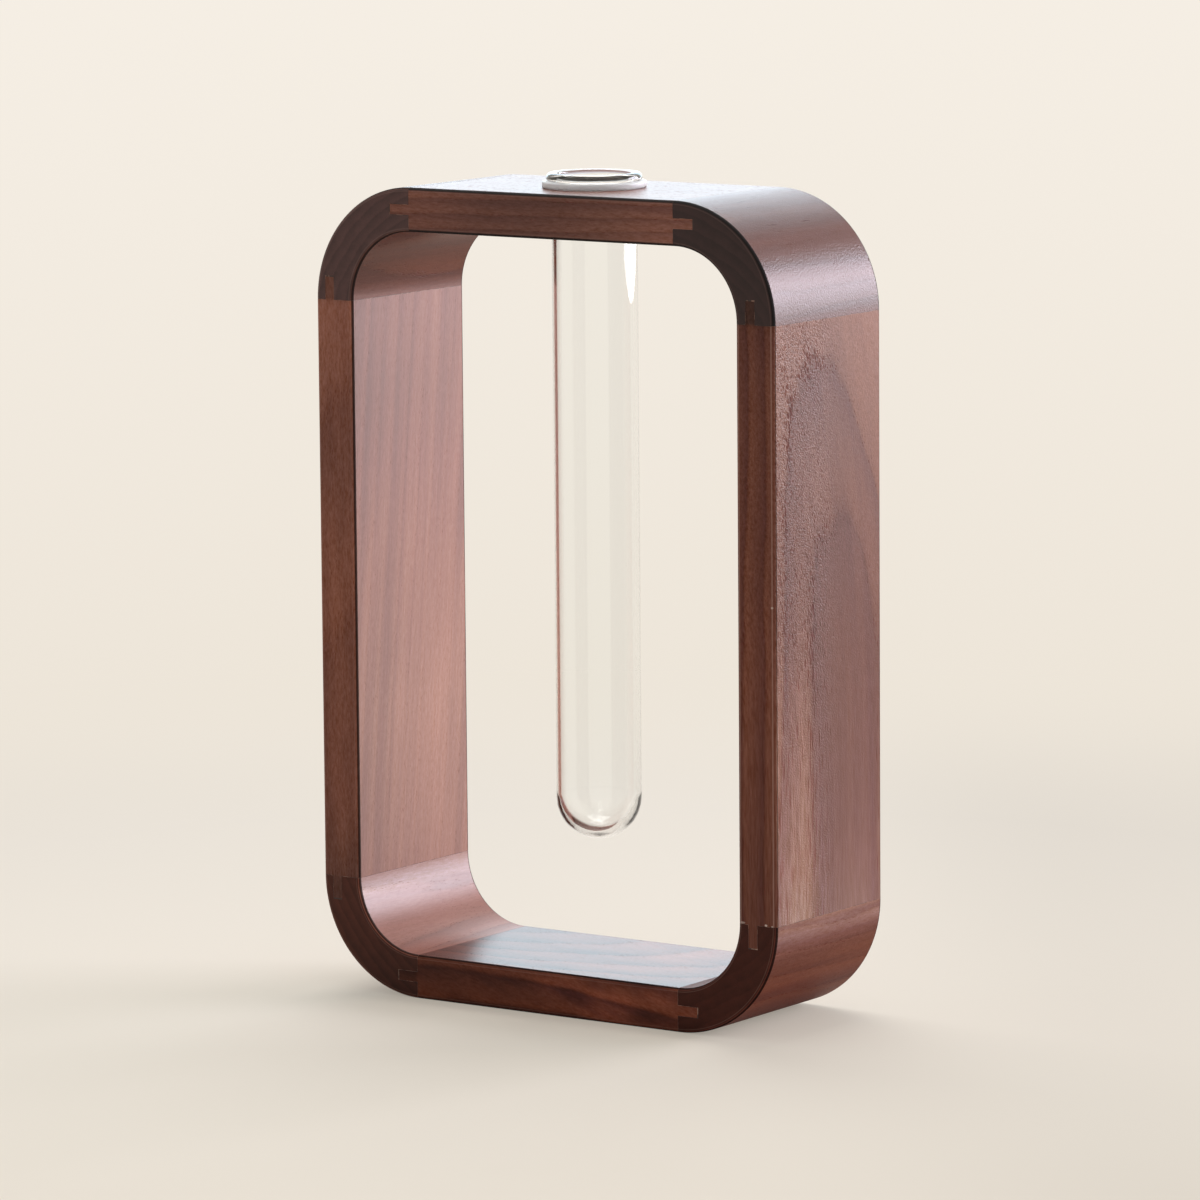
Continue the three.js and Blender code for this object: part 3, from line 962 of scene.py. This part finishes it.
def glue_line(span, shift):
    """Dried glue in the joint at a board's right end: a sheet, and a sleeve round the tongue."""
    back = GLUE_RECESS
    sheet_low = Vector((span / 2 - GLUE_GAP, back - DEPTH / 2, back - THICKNESS / 2))
    sheet_high = Vector((span / 2, DEPTH / 2 - back, THICKNESS / 2 - back))
    bm = box(sheet_low, sheet_high)
    round_off(bm, edges_along_x(bm, GLUE_GAP / 2), ARRIS_RADIUS, ARRIS_SEGMENTS, "EDGES")
    half = TONGUE_THICKNESS / 2 + GLUE_GAP
    sleeve_low = Vector((span / 2, back - DEPTH / 2, shift - half))
    sleeve_high = Vector((span / 2 + TONGUE_LENGTH, DEPTH / 2 - back, shift + half))
    sleeve = bpy.data.meshes.new("sleeve")
    part = box(sleeve_low, sleeve_high)
    part.to_mesh(sleeve)
    part.free()
    bm.from_mesh(sleeve)
    bpy.data.meshes.remove(sleeve)
    return bm


# Two level boards, the top one with the hole for the tube
for node, height in (("top_board", TOP_LEVEL), ("bottom_board", BOTTOM_LEVEL)):
    bm = board(LEVEL_SPAN, 0)
    bmesh.ops.translate(bm, vec=(0, 0, height), verts=bm.verts)
    if node == "top_board":
        bm = cut(bm, hole_cutter())
    finish_piece("level_" + node, bm, walnut_for(node), "frame", node)

# Two uprights, stood on end so that their own upper face looks to the right
for node, side in (("left_upright", -1), ("right_upright", 1)):
    bm = board(UPRIGHT_SPAN, -TONGUE_SHIFT)
    set_in_place(bm, 1, (side * UPRIGHT_X, 0, HALFWAY_UP))
    finish_piece("standing_" + node, bm, walnut_for(node), "frame", node)

# Four corner blocks, each a quarter turn on from the last, from the top right one
for node, quarter_turns, side, end, rises in (
    ("corner_top_right", 0, 1, 1, (0, -TONGUE_SHIFT)),
    ("corner_bottom_right", 1, 1, -1, (-TONGUE_SHIFT, 0)),
    ("corner_bottom_left", 2, -1, -1, (0, TONGUE_SHIFT)),
    ("corner_top_left", 3, -1, 1, (TONGUE_SHIFT, 0)),
):
    bm = corner_block(rises)
    height = HALFWAY_UP + end * (HALFWAY_UP - OUTER_RADIUS)
    centre = (side * (HALF_WIDTH - OUTER_RADIUS), 0, height)
    set_in_place(bm, quarter_turns, centre)
    finish_piece("turned_" + node, bm, walnut_for(node), "frame", node)

# Glue in all eight joints: each is the right end of a level board, turned to its place
glue = dried_glue()
for name, span, shift, quarter_turns, x, z in (
    ("top_right", LEVEL_SPAN, 0, 0, 0, TOP_LEVEL),
    ("top_left", LEVEL_SPAN, 0, 2, 0, TOP_LEVEL),
    ("bottom_right", LEVEL_SPAN, 0, 0, 0, BOTTOM_LEVEL),
    ("bottom_left", LEVEL_SPAN, 0, 2, 0, BOTTOM_LEVEL),
    ("right_upper", UPRIGHT_SPAN, TONGUE_SHIFT, 3, UPRIGHT_X, HALFWAY_UP),
    ("right_lower", UPRIGHT_SPAN, -TONGUE_SHIFT, 1, UPRIGHT_X, HALFWAY_UP),
    ("left_upper", UPRIGHT_SPAN, TONGUE_SHIFT, 3, -UPRIGHT_X, HALFWAY_UP),
    ("left_lower", UPRIGHT_SPAN, -TONGUE_SHIFT, 1, -UPRIGHT_X, HALFWAY_UP),
):
    bm = glue_line(span, shift)
    set_in_place(bm, quarter_turns, (x, 0, z))
    finish_piece("glue_" + name, bm, [glue], "frame", None)

# The glass tube, from the outside of its tip over the lip and down the bore
tube = turned(
    [
        (0, tube_low.z, 0),
        (TUBE_RADIUS, tube_low.z, TUBE_RADIUS * ROUND_BOTTOM),
        (TUBE_RADIUS, SEAT, LIP_NECK_RADIUS),
        (tube_high.x, SEAT, LIP_EDGE_RADIUS),
        (tube_high.x, tube_high.z, LIP_CREST_RADIUS),
        (BORE_RADIUS, tube_high.z, LIP_MOUTH_RADIUS),
        (BORE_RADIUS, tube_low.z + TUBE_BOTTOM, BORE_RADIUS * ROUND_BOTTOM),
        (0, tube_low.z + TUBE_BOTTOM, 0),
    ]
)
finish_piece("clear_tube", tube, [clear_glass()], "tube", "glass_tube")

# The seat ring
ring = turned(
    [
        (RING_INSIDE, ring_low.z, RING_EDGE_RADIUS),
        (ring_high.x, ring_low.z, RING_EDGE_RADIUS),
        (ring_high.x, ring_high.z, RING_EDGE_RADIUS),
        (RING_INSIDE, ring_high.z, RING_EDGE_RADIUS),
    ],
    closed=True,
)
finish_piece("clear_ring", ring, [clear_silicone()], "ring", "seat_ring")


def seen_share(tree):
    """One for what the camera sees, also in gloss and through glass, and nought for soft light."""
    path = add_node(tree, "ShaderNodeLightPath")
    seen = calc(tree, "MAXIMUM", path.outputs["Is Camera Ray"], path.outputs["Is Glossy Ray"])
    return calc(tree, "MAXIMUM", seen, path.outputs["Is Transmission Ray"])


def make_floor():
    """A wide pale floor, paler with distance, that keeps the planter's shadow."""
    bm = bmesh.new()
    bmesh.ops.create_grid(bm, x_segments=1, y_segments=1, size=FLOOR_HALF_SIZE)
    material, tree, shader, coords = new_material("pale_floor")
    place = coords["Object"]

    # The floor's colour as it is seen, which a lamp doesn't change
    depth = vector_calc(tree, "DOT_PRODUCT", place, AWAY, output="Value")
    share = calc(tree, "MAXIMUM", calc(tree, "ADD", depth, FLOOR_START), 0.0)
    share = calc(tree, "DIVIDE", share, calc(tree, "ADD", share, FLOOR_HALFWAY))
    colour = ramp(tree, share, FLOOR_COLOURS)
    glow = add_node(tree, "ShaderNodeEmission", {"Color": colour})

    # The same floor under the lamps, darker behind the planter and to its right
    aside = vector_calc(tree, "DOT_PRODUCT", place, ASIDE, output="Value")
    tone = smooth_range(tree, depth, *DARKER_BEHIND)
    tone = calc(tree, "MULTIPLY", tone, smooth_range(tree, aside, *DARKER_ASIDE))
    lit = {"Base Color": shaded(tree, colour, tone), "Roughness": 0.9, "Specular IOR Level": 0.0}
    set_inputs(tree, shader, lit)

    # Lamps count near the planter, and less with distance from it
    distance = length(tree, vector_calc(tree, "MULTIPLY", place, (1, 1, 0)))
    path = add_node(tree, "ShaderNodeLightPath").outputs
    direct = calc(tree, "MAXIMUM", path["Is Camera Ray"], path["Is Transmission Ray"])
    near = calc(tree, "MULTIPLY", direct, FLOOR_EVENNESS)
    far = calc(tree, "MULTIPLY", seen_share(tree), smooth_range(tree, distance, *LAMPS_FADE))
    even = calc(tree, "MAXIMUM", near, far)
    inputs = {0: even, 1: shader.outputs["BSDF"], 2: glow.outputs[0]}
    blend = add_node(tree, "ShaderNodeMixShader", inputs)
    tree.links.new(blend.outputs[0], tree.nodes["Material Output"].inputs["Surface"])

    floor = link_mesh("floor", bm)
    floor.data.materials.append(material)


def make_world():
    """A pale room, dimmer as a light than as it is seen."""
    world = bpy.data.worlds.new("studio")
    bpy.context.scene.world = world
    world.use_nodes = True
    tree = world.node_tree
    tree.nodes.clear()
    seen = seen_share(tree)
    inputs = {"Value": seen, "To Min": ROOM_LIGHT, "To Max": 1.0}
    strength = add_node(tree, "ShaderNodeMapRange", inputs).outputs[0]
    inputs = {"Color": mix_colour(tree, seen, grey(1), ROOM_COLOUR), "Strength": strength}
    background = add_node(tree, "ShaderNodeBackground", inputs)
    add_node(tree, "ShaderNodeOutputWorld", {"Surface": background.outputs[0]})


def add_lamp(name, width, height, radiance):
    """A soft light panel of that size, which lights what it faces with that radiance."""
    data = bpy.data.lights.new(name, "AREA")
    data.size = width
    data.energy = radiance * math.pi * width * height
    lamp = bpy.data.objects.new(name, data)
    bpy.context.scene.collection.objects.link(lamp)
    return lamp


def window(name, azimuth, distance, low, high, width, radiance, colour):
    """An upright panel that faces the planter from that azimuth, counted from the back.

    It doesn't show through glass, where it would stand as a white block in the lifted tube.
    """
    lamp = add_lamp(name, width, high - low, radiance)
    lamp.data.shape = "RECTANGLE"
    lamp.data.size_y = high - low
    lamp.data.color = colour
    way = Vector((math.sin(azimuth), math.cos(azimuth), 0))
    lamp.location = way * distance + Vector((0, 0, (low + high) / 2))
    lamp.rotation_euler = (-90 * DEGREE, 0, -azimuth)
    lamp.visible_transmission = False


def ceiling(behind, height, size, radiance):
    """A square panel over and behind the planter, as the camera sees it, that shines down."""
    lamp = add_lamp("ceiling", size, size, radiance)
    lamp.location = (AWAY[0] * behind, AWAY[1] * behind, height)


def make_camera():
    """The camera at the photograph's angle."""
    sin_a, cos_a = math.sin(CAMERA_AZIMUTH), math.cos(CAMERA_AZIMUTH)
    sin_e, cos_e = math.sin(CAMERA_ELEVATION), math.cos(CAMERA_ELEVATION)
    back = Vector((sin_a * cos_e, -cos_a * cos_e, sin_e))
    right = Vector(ASIDE)
    up = back.cross(right)
    upright = Matrix((right, up, back)).transposed()
    turn = upright @ Matrix.Rotation(CAMERA_ROLL, 3, "Z")
    data = bpy.data.cameras.new("camera")
    data.lens = CAMERA_LENS
    data.sensor_width = CAMERA_SENSOR
    data.clip_start, data.clip_end = CAMERA_REACH
    camera = bpy.data.objects.new("camera", data)
    place = Matrix.Translation(CAMERA_TARGET + back * CAMERA_DISTANCE)
    camera.matrix_world = place @ turn.to_4x4()
    bpy.context.scene.collection.objects.link(camera)
    bpy.context.scene.camera = camera


make_floor()
make_world()
for name, panel in WINDOWS.items():
    window(name, *panel)
ceiling(behind=0.8, height=1.5, size=1.2, radiance=4.0)
make_camera()
bpy.context.scene.view_settings.view_transform = "Standard"
